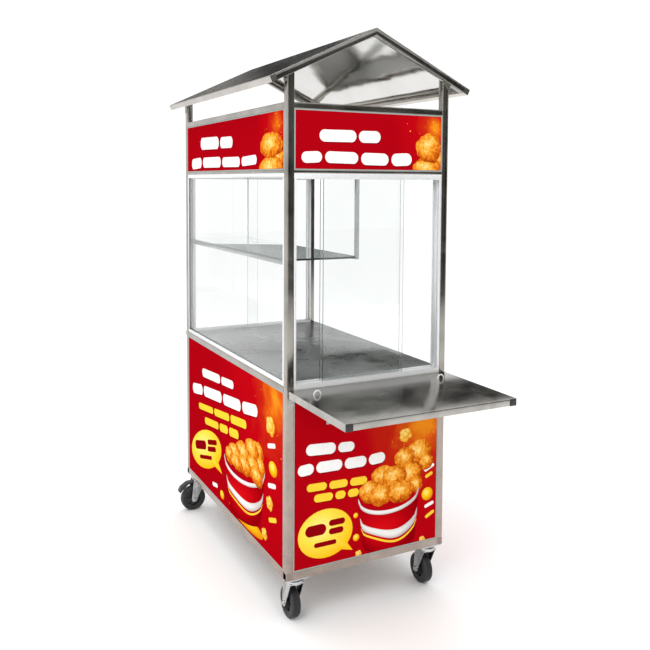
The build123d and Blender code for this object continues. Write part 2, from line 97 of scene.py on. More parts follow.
def modifier(obj, kind, **settings):
    pick(obj)
    mod = obj.modifiers.new(kind.lower(), kind)
    for key, value in settings.items():
        setattr(mod, key, value)
    bpy.ops.object.modifier_apply(modifier=mod.name)
    return obj


def smooth(obj, angle=35):
    pick(obj)
    bpy.ops.object.shade_smooth_by_angle(angle=math.radians(angle))
    return obj


def easeEdges(obj, width, segments=2, angle=30):
    modifier(obj, "BEVEL", width=width, segments=segments, limit_method="ANGLE",
             angle_limit=math.radians(angle))
    return smooth(obj)


def cubeBetween(name, low, high):
    deselectAll()
    bpy.ops.mesh.primitive_cube_add(size=1, location=[(a + b) / 2 for a, b in zip(low, high)])
    obj = bpy.context.object
    obj.scale = [b - a for a, b in zip(low, high)]
    obj.name = name
    return applyPlace(obj)


def lathe(name, profile, centre, axis, steps=56):
    # turns a closed outline of (radius, distance along) once about the axis
    deselectAll()
    bpy.ops.mesh.primitive_circle_add(vertices=len(profile), radius=1)
    obj = bpy.context.object
    obj.name = name
    turn = Vector((0, 0, 1)).rotation_difference(Vector(axis)).to_matrix()
    for v, (radius, along) in zip(obj.data.vertices, profile):
        v.co = Vector(centre) + turn @ Vector((radius, 0, along))
    editAll(obj, "VERT")
    bpy.ops.mesh.spin(steps=steps, angle=2 * math.pi, center=centre, axis=axis)
    bpy.ops.mesh.select_all(action="SELECT")
    bpy.ops.mesh.remove_doubles(threshold=weld["lathe"])
    bpy.ops.mesh.normals_make_consistent(inside=False)
    done()
    return smooth(obj)


def copyOf(obj, place):
    # a copy with its own mesh, set down by a matrix
    twin = bpy.data.objects.new(obj.name + "_twin", obj.data.copy())
    bpy.context.scene.collection.objects.link(twin)
    twin.matrix_world = place
    return applyPlace(twin)


def joinAll(name, parts):
    deselectAll()
    for part in parts:
        part.select_set(True)
    bpy.context.view_layer.objects.active = parts[0]
    if len(parts) > 1:
        bpy.ops.object.join()
    parts[0].name = name
    return parts[0]


def finish(obj, body, slot, material=None, *replaced):
    if material is not None:
        obj.data.materials.clear()
        obj.data.materials.append(material)
    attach(obj, body)
    if replaced:
        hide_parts(*replaced)
    return obj


def bodyOf(node):
    return next(body for body, members in frame["record"]["behaviour"]["bodies"].items() if node in members)


def mergedCopy(node):
    copy = bpy.data.objects.new(node + "_eased", nodes[node].data.copy())
    bpy.context.scene.collection.objects.link(copy)
    editAll(copy)
    bpy.ops.mesh.remove_doubles(threshold=weld["machined"])
    return copy


def softened(node, width, segments=2):
    # a copy of a machined node with its flat triangles merged and its edges broken
    copy = mergedCopy(node)
    bpy.ops.mesh.dissolve_limited(angle_limit=math.radians(1))
    done()
    return easeEdges(copy, width, segments)


def easedPiece(node, width, slot, material):
    return finish(softened(node, width), bodyOf(node), slot, material, node)


def solidsOf(node):
    # the boxes of a node's loose parts, in the order of their lowest corners; solids that share
    # a corner count as one part, so the rings in base_rails and flap_frame each give one box
    copy = mergedCopy(node)
    bpy.ops.mesh.separate(type="LOOSE")
    done()
    boxes = []
    for part in list(bpy.context.selected_objects):
        points = [v.co for v in part.data.vertices]
        low = Vector([min(p[i] for p in points) for i in range(3)])
        high = Vector([max(p[i] for p in points) for i in range(3)])
        boxes.append((low, high))
        bpy.data.objects.remove(part)
    return sorted(boxes, key=lambda b: [round(c, 4) for c in (*b[0], *b[1])])


def newMaterial(name):
    material = bpy.data.materials.new(name)
    material.use_nodes = True
    tree = material.node_tree
    return material, tree, tree.nodes["Principled BSDF"]


def put(tree, kind, **settings):
    # adds a node; in_ names an input, with _ for a space
    node = tree.nodes.new(kind)
    for key, value in settings.items():
        if key.startswith("in_"):
            node.inputs[key[3:].replace("_", " ")].default_value = value
        else:
            setattr(node, key, value)
    return node


def objectPoints(tree, scale=(1, 1, 1)):
    coords = put(tree, "ShaderNodeTexCoord")
    mapping = put(tree, "ShaderNodeMapping", in_Scale=scale)
    tree.links.new(coords.outputs["Object"], mapping.inputs["Vector"])
    return mapping.outputs["Vector"]


def noise(tree, vector, scale, detail=4.0, rough=0.5, warp=0.0):
    node = put(tree, "ShaderNodeTexNoise", in_Scale=scale, in_Detail=detail, in_Roughness=rough,
               in_Distortion=warp)
    tree.links.new(vector, node.inputs["Vector"])
    return node.outputs["Fac"]


def ramp(tree, value, stops):
    node = put(tree, "ShaderNodeValToRGB")
    ends = node.color_ramp.elements
    while len(ends) < len(stops):
        ends.new(0.5)
    for element, (place, color) in zip(ends, stops):
        element.position = place
        element.color = (*color, 1)
    tree.links.new(value, node.inputs["Fac"])
    return node.outputs["Color"]


def spread(tree, value, low, high, fromLow=0.3, fromHigh=0.7):
    node = put(tree, "ShaderNodeMapRange", in_From_Min=fromLow, in_From_Max=fromHigh,
               in_To_Min=low, in_To_Max=high)
    tree.links.new(value, node.inputs["Value"])
    return node.outputs["Result"]


def maths(tree, operation, first, second, third=0.0):
    node = put(tree, "ShaderNodeMath", operation=operation)
    for socket, value in zip(node.inputs, (first, second, third)):
        if isinstance(value, (int, float)):
            socket.default_value = value
        else:
            tree.links.new(value, socket)
    return node.outputs[0]


def mixed(tree, fac, first, second):
    node = put(tree, "ShaderNodeMix", data_type="RGBA")
    for name, value in (("Factor", fac), ("A", first), ("B", second)):
        tree.links.new(value, node.inputs[name])
    return node.outputs["Result"]


def bump(tree, shader, relief, strength, distance):
    node = put(tree, "ShaderNodeBump", in_Strength=strength, in_Distance=distance)
    tree.links.new(relief, node.inputs["Height"])
    tree.links.new(node.outputs["Normal"], shader.inputs["Normal"])


def heightOf(tree):
    coords = put(tree, "ShaderNodeTexCoord")
    parts = put(tree, "ShaderNodeSeparateXYZ")
    tree.links.new(coords.outputs["Object"], parts.inputs[0])
    return parts.outputs["Z"]


sheetLook = {"grain": 0.35, "seen": (0.45, 0.95), "waves": 4.0, "bump": 0.12, "depth": 0.0004}


def steel(name, color, darker, rough, grain=(400, 400, 6), wave=0.0, cloud=8.0, low=None):
    # rolled stainless: fine grain along one axis, cloudy roughness and slow waves in the sheet;
    # low paints light on the same metal below the counter: warmer colours that stand in for what it reflects
    # there, and more roughness
    material, tree, shader = newMaterial(name)
    shader.inputs["Metallic"].default_value = 1.0
    lines = noise(tree, objectPoints(tree, grain), 1.0, 3.0, 0.6)
    clouds = noise(tree, objectPoints(tree), cloud, 5.0, 0.6, 0.6)
    paint = ramp(tree, clouds, [(0.3, darker), (0.7, color)])
    scratches = maths(tree, "MULTIPLY_ADD", lines, sheetLook["grain"], clouds)
    polish = spread(tree, scratches, *rough, *sheetLook["seen"])
    if low:
        upper = spread(tree, heightOf(tree), 0, 1, low["from"], low["to"])
        # painted light: warmer colours for the same metal below the counter
        paintedLowerTone = ramp(tree, clouds, [(0.3, low["darker"]), (0.7, low["color"])])
        paint = mixed(tree, upper, paintedLowerTone, paint)
        polish = maths(tree, "MULTIPLY_ADD", maths(tree, "SUBTRACT", 1.0, upper), low["rough"], polish)
    tree.links.new(paint, shader.inputs["Base Color"])
    tree.links.new(polish, shader.inputs["Roughness"])
    waves = noise(tree, objectPoints(tree), sheetLook["waves"], 2.0, 0.4)
    relief = maths(tree, "MULTIPLY_ADD", waves, wave, lines)
    bump(tree, shader, relief, sheetLook["bump"], sheetLook["depth"])
    return material


def plain(name, color, rough, variation=0.25, scale=60, metallic=0.0, dents=0.1, gloss=0.5):
    material, tree, shader = newMaterial(name)
    shader.inputs["Metallic"].default_value = metallic
    shader.inputs["Specular IOR Level"].default_value = gloss
    grain = noise(tree, objectPoints(tree), scale, 5.0, 0.6)
    dark = [c * (1 - variation) for c in color]
    light = [min(1, c * (1 + variation)) for c in color]
    tree.links.new(ramp(tree, grain, [(0.3, dark), (0.7, light)]), shader.inputs["Base Color"])
    tree.links.new(spread(tree, grain, rough * 0.85, min(1, rough * 1.2)), shader.inputs["Roughness"])
    bump(tree, shader, grain, dents, 0.0003)
    return material


def clearGlass(name, tint, rough=0.0):
    material, tree, shader = newMaterial(name)
    shader.inputs["Transmission Weight"].default_value = 1.0
    shader.inputs["IOR"].default_value = 1.5
    shader.inputs["Roughness"].default_value = rough
    smudge = noise(tree, objectPoints(tree), 6.0, 4.0, 0.6)
    stops = [(0.3, [c * 0.985 for c in tint]), (0.7, tint)]
    tree.links.new(ramp(tree, smudge, stops), shader.inputs["Base Color"])
    return material


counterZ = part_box("worktop")[1].z
# painted light: the frame's warmer colours below the counter, and its extra roughness there
paintedLightBelowCounter = {
    "from": counterZ - 0.12,
    "to": counterZ + 0.05,
    "color": (0.43, 0.365, 0.325),
    "darker": (0.3, 0.255, 0.22),
    "rough": 0.14,
}
frameSteel = steel("frame_steel", (0.44, 0.42, 0.38), (0.26, 0.245, 0.22),
                   (0.08, 0.22), wave=6, low=paintedLightBelowCounter)
roofSteel = steel("roof_steel", (0.72, 0.71, 0.69), (0.56, 0.55, 0.53),
                  (0.05, 0.14), (6, 300, 300), wave=60, cloud=3)
rafterSteel = steel("rafter_steel", (0.36, 0.35, 0.33), (0.2, 0.19, 0.18),
                    (0.08, 0.2), (6, 300, 300), wave=10)
eaveSteel = steel("eave_steel", (0.62, 0.59, 0.55), (0.46, 0.43, 0.4),
                  (0.12, 0.26), (300, 6, 300), wave=6)
worktopSteel = steel("worktop_steel", (0.36, 0.375, 0.37), (0.20, 0.21, 0.205),
                     (0.2, 0.42), (300, 8, 300), 8, 9)
trackMetal = plain("track_aluminium", (0.82, 0.83, 0.84), 0.32, 0.05, 150, metallic=0.35, dents=0.05)
shelfSteel = steel("shelf_steel", (0.5, 0.5, 0.49), (0.34, 0.34, 0.33), (0.12, 0.28))
handleSteel = steel("handle_steel", (0.66, 0.65, 0.63), (0.5, 0.49, 0.47), (0.1, 0.2), (6, 500, 500))
flapSteel = steel("flap_steel", (0.5, 0.48, 0.45), (0.3, 0.29, 0.27),
                  (0.1, 0.24), (200, 200, 200), wave=4)
flapDark = steel("flap_dark", (0.085, 0.092, 0.086), (0.045, 0.05, 0.046),
                 (0.05, 0.2), (6, 300, 300), wave=16, cloud=6)
hingeSteel = steel("hinge_steel", (0.4, 0.39, 0.37), (0.26, 0.25, 0.24), (0.2, 0.36), (300, 300, 300))
pullMetal = steel("pull_metal", (0.6, 0.6, 0.61), (0.45, 0.45, 0.46), (0.2, 0.32), (300, 300, 8))
zinc = steel("caster_zinc", (0.66, 0.67, 0.68), (0.42, 0.43, 0.44),
             (0.12, 0.3), (120, 120, 120), wave=2, cloud=60)
gasketRubber = plain("gasket", (0.3, 0.37, 0.35), 0.45, 0.08, 90)
blackPlastic = plain("black_plastic", (0.018, 0.018, 0.019), 0.42, 0.3, 500)
hubPlastic = plain("hub_plastic", (0.025, 0.025, 0.027), 0.38, 0.3, 300)
tyreRubber = plain("tyre_rubber", (0.016, 0.016, 0.017), 0.5, 0.4, 220, dents=0.25)
paneGlass = clearGlass("clear_glass", (0.975, 0.99, 0.985))
glassEdge = clearGlass("glass_edge", (0.5, 0.74, 0.68), 0.25)
shelfGlass = clearGlass("shelf_glass", (0.86, 0.93, 0.905))
shelfEdge = clearGlass("shelf_edge", (0.08, 0.3, 0.24), 0.25)
loopWire = plain("loop_wire", (0.85, 0.85, 0.84), 0.3, 0.05, 200, metallic=0.2)
redPrint = plain("red_panel", (0.42, 0.001, 0.006), 0.3, 0.1, 4, dents=0.02, gloss=0.0)

slotMaterials = {
    "frame_steel": frameSteel, "roof_steel": roofSteel, "worktop_steel": worktopSteel,
    "track_aluminium": trackMetal, "shelf_steel": shelfSteel, "handle_steel": handleSteel,
    "flap_steel": flapSteel, "flap_dark": flapDark, "hinge_steel": hingeSteel, "pull_metal": pullMetal,
    "caster_zinc": zinc, "gasket": gasketRubber, "black_plastic": blackPlastic, "hub_plastic": hubPlastic,
    "tyre_rubber": tyreRubber, "clear_glass": paneGlass, "red_panel": redPrint,
}
for row in frame["record"]["subparts"]:
    node = nodes[row["node"]]
    node.data.materials.clear()
    node.data.materials.append(slotMaterials[row["material_slot"]])
print("materials on the frame")

tube = {"rounding": 0.0022, "steps": 3}


def roundLongEdges(obj, direction, rounding=tube["rounding"]):
    # rounds the four edges that run along the tube, as a rolled square tube has
    direction = Vector(direction).normalized()
    edit(obj, "EDGE")
    chooseEdges(obj, lambda a, b: abs((b - a).normalized().dot(direction)) > 0.99)
    bpy.ops.mesh.bevel(offset=rounding, segments=tube["steps"], affect="EDGES")
    done()
    return smooth(obj, 40)


def squareBar(name, low, high):
    sizes = [b - a for a, b in zip(low, high)]
    longest = sizes.index(max(sizes))
    rounding = min(tube["rounding"], 0.3 * min(sizes))
    return roundLongEdges(cubeBetween(name, low, high), [i == longest for i in range(3)], rounding)


def barsFor(node, slot, material):
    bars = [squareBar(node + "_bar", low, high) for low, high in solidsOf(node)]
    return finish(joinAll(node + "_tubes", bars), bodyOf(node), slot, material, node)


for node in ("base_rails", "counter_rails", "header_rails"):
    barsFor(node, "frame_steel", frameSteel)
barsFor("flap_frame", "flap_steel", flapSteel)

roofLow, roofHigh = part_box("roof_sheet_left")
roof = {
    "half": -roofLow.x,
    "apex": roofHigh.z,
    "sheet": 0.0012,
    "bar": 0.020,
    "rafter": 0.025,
    "rise": 0.175,
    "front": roofLow.y,
    "back": roofHigh.y,
}
roof["pitch"] = math.atan2(roof["rise"], roof["half"])


def slopePoint(run, below):
    # a point on the left slope, run up from the eave and below the top face
    c, s = math.cos(roof["pitch"]), math.sin(roof["pitch"])
    return (-roof["half"] + run * c + below * s, roof["apex"] - roof["rise"] + run * s - below * c)


def ridgePoint(below):
    return (0.0, roof["apex"] - below / math.cos(roof["pitch"]))


def slopedBar(corners, y0, y1, along, side):
    # a bar whose section in the XZ plane has four corners on the left slope; side -1 mirrors it
    deselectAll()
    bpy.ops.mesh.primitive_cube_add(size=2)
    obj = bpy.context.object
    for v in obj.data.vertices:
        corner = corners[(0 if v.co.x < 0 else 1) + (0 if v.co.z > 0 else 2)]
        v.co = (side * corner[0], y0 if v.co.y < 0 else y1, corner[1])
    editAll(obj)
    bpy.ops.mesh.normals_make_consistent(inside=False)
    done()
    return roundLongEdges(obj, (side * along[0], along[1], along[2]))


def roofTubes():
    slope = (math.cos(roof["pitch"]), 0, math.sin(roof["pitch"]))
    top, low, wide = roof["sheet"], roof["sheet"] + roof["bar"], roof["bar"]
    front, back, deep = roof["front"], roof["back"], roof["rafter"]
    rafters, eaves = [], []
    for side in (1, -1):
        across = [slopePoint(wide, top), ridgePoint(top), slopePoint(wide, low), ridgePoint(low)]
        for y0, y1 in ((front, front + deep), (back - deep, back)):
            rafters.append(slopedBar(across, y0, y1, slope, side))
        edge = [slopePoint(0, top), slopePoint(wide, top), slopePoint(0, low), slopePoint(wide, low)]
        eaves.append(slopedBar(edge, front, back, (0, 1, 0), side))
    for low, high in solidsOf("roof_bars"):
        if abs(low.x + high.x) < 0.001:
            eaves.append(squareBar("ridge", low, high))
    finish(joinAll("roof_rafter_tubes", rafters), "root", "roof_steel", rafterSteel, "roof_rafters")
    finish(joinAll("roof_bar_tubes", eaves), "root", "roof_steel", eaveSteel, "roof_bars")


def cornerPosts():
    posts = []
    for low, high in solidsOf("corner_posts"):
        post = squareBar("post", low, high)
        side = 1 if low.x > 0 else -1
        below = roof["sheet"] if low.y < 0 else roof["sheet"] + roof["bar"]
        editAll(post)
        bpy.ops.mesh.bisect(plane_co=(0, 0, ridgePoint(below)[1]),
                            plane_no=(side * math.sin(roof["pitch"]), 0, math.cos(roof["pitch"])),
                            clear_outer=True, use_fill=True)
        done()
        posts.append(smooth(post, 40))
    finish(joinAll("corner_post_tubes", posts), "root", "frame_steel", frameSteel, "corner_posts")


roofTubes()
cornerPosts()
for node in ("roof_sheet_left", "roof_sheet_right"):
    finish(softened(node, 0.0003, 1), "root", "roof_steel", roofSteel, node)
easedPiece("roof_brackets", 0.0005, "frame_steel", hingeSteel)
print("tubes and roof")

for node in ("front_tracks", "rear_tracks", "side_glass_channels", "cabinet_door_tracks"):
    easedPiece(node, 0.0006, "track_aluminium", trackMetal)
easedPiece("panel_gaskets", 0.0005, "gasket", gasketRubber)
easedPiece("worktop", 0.0005, "worktop_steel", worktopSteel)
easedPiece("shelf_supports", 0.0005, "shelf_steel", shelfSteel)
easedPiece("cabinet_floor", 0.0003, "worktop_steel", worktopSteel)
for end in ("front", "rear"):
    easedPiece("cabinet_door_" + end, 0.0006, "red_panel", redPrint)
    easedPiece("cabinet_door_pull_" + end, 0.0006, "pull_metal", pullMetal)
easedPiece("flap_tray", 0.0003, "flap_dark", flapDark)
easedPiece("flap_end_plugs", 0.0008, "black_plastic", blackPlastic)
for node in ("flap_hinge_fixed_leaves", "flap_hinge_moving_leaves", "stay_straps", "flap_stay_rails",
             "flap_pins", "flap_stay_left", "flap_stay_right"):
    easedPiece(node, 0.0004, "hinge_steel", hingeSteel)
print("tracks, worktop and flap hardware")


arris = {"width": 0.0007, "steps": 2}


def glassPane(node, body, thin, clear=paneGlass, ground=glassEdge):
    # a pane with polished arrises, its ground edges in their own darker green
    low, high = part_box(node)
    pane = cubeBetween(node + "_pane", low, high)
    editAll(pane, "EDGE")
    bpy.ops.mesh.bevel(offset=arris["width"], segments=arris["steps"], affect="EDGES")
    done()
    pane.data.materials.append(clear)
    pane.data.materials.append(ground)
    for face in pane.data.polygons:
        face.material_index = 0 if abs(face.normal[thin]) > 0.95 else 1
    return finish(pane, body, "clear_glass", None, node)


glassPane("side_glass", "root", 0)
glassPane("shelf_glass", "root", 2, shelfGlass, shelfEdge)
for end in ("front", "rear"):
    for leaf in ("outer", "inner"):
        node = end + "_pane_" + leaf
        glassPane(node, node, 1)
print("glass")

wireLoop = {
    "radius": 0.002,
    "reach": 0.012,
    "tall": 0.014,
    "x": 0.23,
    "y": -0.4395,
    "z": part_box("flap_tray")[1].z,
    "around": 28,
    "section": 10,
}


def flapLoops():
    # two small wire loops that stand on the flap's tray
    loops = []
    for side in (-1, 1):
        deselectAll()
        bpy.ops.mesh.primitive_torus_add(major_radius=wireLoop["reach"], minor_radius=wireLoop["radius"],
                                         major_segments=wireLoop["around"],
                                         minor_segments=wireLoop["section"])
        ring = bpy.context.object
        ring.rotation_euler = (math.radians(90), 0, 0)
        ring.scale = (1, wireLoop["tall"] / wireLoop["reach"], 1)
        ring.location = (side * wireLoop["x"], wireLoop["y"], wireLoop["z"])
        applyPlace(ring)
        editAll(ring)
        bpy.ops.mesh.bisect(plane_co=(0, 0, wireLoop["z"]), plane_no=(0, 0, -1),
                            clear_outer=True, use_fill=True)
        done()
        loops.append(smooth(ring))
    finish(joinAll("flap_wire_loops", loops), "flap", "hinge_steel", loopWire)


flapLoops()


def ink(name, color):
    return plain(name, color, 0.35, 0.04, 30, dents=0.01, gloss=0.0)


def fromMiddle(tree, at, stretch=1):
    # how far a point of a printed shape lies from a highlight, both in the shape's own UV map
    coords = put(tree, "ShaderNodeTexCoord")
    shift = (-at[0] * stretch, -at[1], 0)
    mapping = put(tree, "ShaderNodeMapping", in_Scale=(stretch, 1, 1), in_Location=shift)
    tree.links.new(coords.outputs["UV"], mapping.inputs["Vector"])
    length = put(tree, "ShaderNodeVectorMath", operation="LENGTH")
    tree.links.new(mapping.outputs["Vector"], length.inputs[0])
    return length.outputs["Value"]


crumb = {"scale": 110, "finer": 0.55, "pits": 0.22}


def crustInk(name, stops, grain):
    # a fried crust: light at the highlight, dark round the rim, broken into crumbs
    material, tree, shader = newMaterial(name)
    shader.inputs["Specular IOR Level"].default_value = 0.0
    shader.inputs["Roughness"].default_value = 0.35
    crumbs = put(tree, "ShaderNodeTexVoronoi", in_Scale=crumb["scale"])
    tree.links.new(objectPoints(tree), crumbs.inputs["Vector"])
    rough = noise(tree, objectPoints(tree), crumb["scale"] * crumb["finer"], 6.0, 0.7, 0.8)
    rim = fromMiddle(tree, (0.42, 0.62))
    shade = maths(tree, "MULTIPLY_ADD", crumbs.outputs["Distance"], crumb["pits"], rim)
    shade = maths(tree, "MULTIPLY_ADD", maths(tree, "SUBTRACT", rough, 0.5), grain, shade)
    tree.links.new(ramp(tree, shade, stops), shader.inputs["Base Color"])
    return material


def ballInk(name, light, mid, dark):
    material, tree, shader = newMaterial(name)
    shader.inputs["Specular IOR Level"].default_value = 0.0
    shader.inputs["Roughness"].default_value = 0.3
    tree.links.new(ramp(tree, fromMiddle(tree, (0.4, 0.62)), [(0.05, light), (0.3, mid), (0.62, dark)]),
                   shader.inputs["Base Color"])
    return material


def glowingRed(name, glow, stretch):
    # the printed red, darker at the top left, with an orange fire glow about one point of its UV map
    material, tree, shader = newMaterial(name)
    shader.inputs["Specular IOR Level"].default_value = 0.0
    shader.inputs["Roughness"].default_value = 0.3
    smoke = noise(tree, objectPoints(tree), 9.0, 4.0, 0.55, 0.5)
    away = fromMiddle(tree, glow, stretch)
    reach = maths(tree, "MULTIPLY_ADD", maths(tree, "SUBTRACT", smoke, 0.5), 0.5, away)
    stops = [(0.0, (0.78, 0.24, 0.012)), (0.1, (0.66, 0.1, 0.007)), (0.24, (0.52, 0.02, 0.006)),
             (0.42, (0.46, 0.0018, 0.006)), (1.0, (0.37, 0.001, 0.0055))]
    tree.links.new(ramp(tree, reach, stops), shader.inputs["Base Color"])
    return material


sheetBack = plain("sheet_back", (0.7, 0.7, 0.69), 0.4, 0.06, 40, dents=0.03)
whiteInk = ink("white_ink", (0.86, 0.85, 0.83))
yellowInk = ink("yellow_ink", (0.9, 0.6, 0.04))
darkRedInk = ink("dark_red_ink", (0.24, 0.001, 0.004))
shadowInk = ink("shadow_ink", (0.2, 0.0, 0.003))
emberInk = ink("ember_ink", (0.86, 0.3, 0.01))
bucketInk = ballInk("bucket_ink", (0.62, 0.004, 0.008), (0.5, 0.002, 0.006), (0.26, 0.0, 0.003))
bucketWhite = ballInk("bucket_white", (0.84, 0.82, 0.8), (0.78, 0.75, 0.73), (0.5, 0.46, 0.45))
ballYellow = ballInk("ball_yellow", (0.92, 0.76, 0.16), (0.9, 0.54, 0.012), (0.68, 0.24, 0.004))
bubbleYellow = ballInk("bubble_yellow", (0.92, 0.78, 0.22), (0.9, 0.68, 0.07), (0.88, 0.5, 0.01))
crustStops = {
    "small": [(0.1, (0.92, 0.74, 0.3)), (0.4, (0.9, 0.54, 0.08)), (0.75, (0.7, 0.28, 0.01))],
    "large": [(0.1, (0.95, 0.66, 0.24)), (0.3, (0.9, 0.42, 0.05)), (0.48, (0.74, 0.22, 0.012)),
              (0.66, (0.5, 0.09, 0.004)), (0.9, (0.22, 0.02, 0.002))],
}
popcornInk = crustInk("popcorn_ink", crustStops["small"], 0.6)
crust = crustInk("crust_ink", crustStops["large"], 1.2)
press = {"ply": 0.06, "step": 0.003, "drawn": 0, "margin": 1.0, "plateEase": 0.4, "plateSteps": 8}
sides = {"pill": 24, "disc": 24, "bubble": 40, "lump": 56, "ember": 8}


def liftOf(level):
    # each shape lies a little above the one printed before it
    press["drawn"] += 1
    return level * press["ply"] + press["drawn"] * press["step"]


def printed(points, centre, level, material):
    # one flat printed shape: a fan of triangles drawn out to an outline that runs anticlockwise
    count, lift = len(points), liftOf(level)
    deselectAll()
    bpy.ops.mesh.primitive_circle_add(vertices=count, radius=1, fill_type="TRIFAN")
    obj = bpy.context.object
    for v in obj.data.vertices:
        u, h = centre
        if v.co.length > 0.5:
            u, h = points[round(math.atan2(v.co.y, v.co.x) / (2 * math.pi) * count) % count]
        v.co = (u, h, lift)
    obj.data.materials.append(material)
    return obj


def printedStrip(lower, upper, level, material, count=24):
    # a printed band between two curves that both run from left to right
    lift = liftOf(level)
    deselectAll()
    bpy.ops.mesh.primitive_grid_add(x_subdivisions=count, y_subdivisions=2, size=1)
    obj = bpy.context.object
    for v in obj.data.vertices:
        across, up = v.co.x + 0.5, v.co.y + 0.5
        a, b = lower(across), upper(across)
        v.co = (a[0] + (b[0] - a[0]) * up, a[1] + (b[1] - a[1]) * up, lift)
    obj.data.materials.append(material)
    return obj


def turns(count):
    return [2 * math.pi * i / count for i in range(count)]


def pill(a, b, half, level, material):
    # a bar with round ends, from a to b
    along = (Vector(b) - Vector(a)).normalized()
    across = Vector((-along.y, along.x))
    a, b = Vector(a) + along * half, Vector(b) - along * half
    points = []
    for t in turns(sides["pill"]):
        end = b if math.cos(t) >= 0 else a
        points.append(tuple(end + along * half * math.cos(t) + across * half * math.sin(t)))
    return printed(points, tuple((a + b) / 2), level, material)


def disc(centre, radius, level, material, count=sides["disc"], tall=1.0):
    u, v = centre
    points = [(u + radius * math.cos(t), v + tall * radius * math.sin(t)) for t in turns(count)]
    return printed(points, centre, level, material)


def lump(centre, wide, tall, level, material, seed, lobes=9, knobs=0.055):
    # a rounded shape with a knobbly outline: waves of falling size run round it
    draw = random.Random(seed)
    waves = [(k, knobs * 2.2 / k ** 0.6, draw.uniform(0, 6.28)) for k in (2, 3, 5, lobes, lobes + 4)]
    points = []
    for t in turns(sides["lump"]):
        swell = 1 + sum(size * 0.5 * math.cos(k * t + phase) for k, size, phase in waves)
        points.append((centre[0] + wide * swell * math.cos(t), centre[1] + tall * swell * math.sin(t)))
    return printed(points, centre, level, material)


barStyle = {"gap": 9.0, "half": 0.45, "shadow": (1.5, 3)}


def wordBars(material, start, end, shares, level, wave=0.0, gap=barStyle["gap"]):
    # a row of plain bars in place of words; start and end are (across, top, bottom)
    marks = []
    total = end[0] - start[0] - gap * (len(shares) - 1)
    along = start[0]

    def middle(u):
        part = (u - start[0]) / (end[0] - start[0])
        top, low = (start[i] + (end[i] - start[i]) * part for i in (1, 2))
        return (top + low) / 2 + wave * math.sin(2 * math.pi * part), (top - low) * barStyle["half"]

    aside, down = barStyle["shadow"]
    for share in shares:
        far = along + share / sum(shares) * total
        (v0, half), (v1, _) = middle(along), middle(far)
        marks.append(pill((along + aside, v0 - down), (far + aside, v1 - down), half, level, shadowInk))
        marks.append(pill((along, v0), (far, v1), half, level + 1, material))
        along = far + gap
    return marks


def bubble(spot):
    # a speech bubble with plain bars inside; its own points run from -1 to 1
    def at(x, y):
        u = spot["u"] + spot["wide"] * x
        return (u, spot["v"] + spot["tall"] * y + spot["lean"] * spot["wide"] * x)

    x = (spot["tip"][0] - spot["u"]) / spot["wide"]
    y = (spot["tip"][1] - spot["v"] - spot["lean"] * spot["wide"] * x) / spot["tall"]
    count = sides["bubble"]
    points = [at(math.cos(t), math.sin(t)) for t in turns(count)]
    points[round(math.atan2(y, x) / (2 * math.pi) * count) % count] = spot["tip"]
    marks = [printed(points, at(0, 0), 2, bubbleYellow)]
    for x0, x1, y, thick in ((-0.74, 0.02, 0.2, 0.23), (0.12, 0.72, 0.38, 0.13), (0.12, 0.66, 0.03, 0.13),
                             (-0.42, 0.4, -0.42, 0.1)):
        marks.append(pill(at(x0, y), at(x1, y), thick * spot["tall"], 3, darkRedInk))
    return marks


# each band's lower and upper edge: how far up the wall it lies, and how far it swings
bucketBands = {"white": ((0.42, 0.06), (0.6, 0.04)), "yellow": ((0.32, 0.06), (0.37, 0.06)), "phase": 0.6}


def bucket(spot):
    # a paper bucket seen from a little above: body, white rim, a white wave and a thin yellow band
    def rim(s, lift=0.0):
        x = 2 * s - 1
        u = spot["u"] + spot["half"] * x
        sag = spot["drop"] * math.sqrt(max(0, 1 - x * x))
        return (u, spot["v"] + spot["lean"] * spot["half"] * x - sag + lift)

    def foot(s):
        x = 2 * s - 1
        left, right = spot["foot"]
        sag = spot["footDrop"] * math.sqrt(max(0, 1 - x * x))
        return (left[0] + (right[0] - left[0]) * s, left[1] + (right[1] - left[1]) * s - sag)

    def wall(s, up):
        low, high = foot(s), rim(s)
        return (low[0] + (high[0] - low[0]) * up, low[1] + (high[1] - low[1]) * up)

    def wave(s, base, swing):
        return wall(s, base + swing * math.sin(2 * math.pi * s + bucketBands["phase"]))

    def band(edges, material):
        low, high = edges
        return printedStrip(lambda s: wave(s, *low), lambda s: wave(s, *high), 3, material)

    thick = spot["rim"]
    return [
        printedStrip(foot, rim, 2, bucketInk),
        band(bucketBands["white"], bucketWhite),
        band(bucketBands["yellow"], yellowInk),
        printedStrip(lambda s: rim(s, -thick), lambda s: rim(s, thick), 7, bucketWhite),
    ]


def heap(pieces, level, seed):
    marks = []
    for i, (u, v, wide, tall) in enumerate(pieces):
        marks.append(lump((u, v), wide, tall, level + 0.5 * i, crust, seed + i))
    return marks


kernel = {"knobs": 5, "stray": 0.3, "out": (0.45, 0.42), "knob": (0.52, 0.48), "middle": (0.5, 0.46),
          "lobes": 6, "rough": 0.08}


def popcorn(centre, size, level, seed):
    # one loose fried piece: a ring of knobs round a middle one
    draw = random.Random(seed)
    (outU, outV), (wide, tall) = kernel["out"], kernel["knob"]
    style = (kernel["lobes"], kernel["rough"])
    marks = []
    for i in range(kernel["knobs"]):
        turn = 2 * math.pi * i / kernel["knobs"] + draw.uniform(-kernel["stray"], kernel["stray"])
        spot = (centre[0] + outU * size * math.cos(turn), centre[1] + outV * size * math.sin(turn))
        marks.append(lump(spot, wide * size, tall * size, level + 0.3 * i, popcornInk, seed + i, *style))
    wide, tall = kernel["middle"]
    marks.append(lump(centre, wide * size, tall * size, level + 1.6, popcornInk, seed + 9, *style))
    return marks


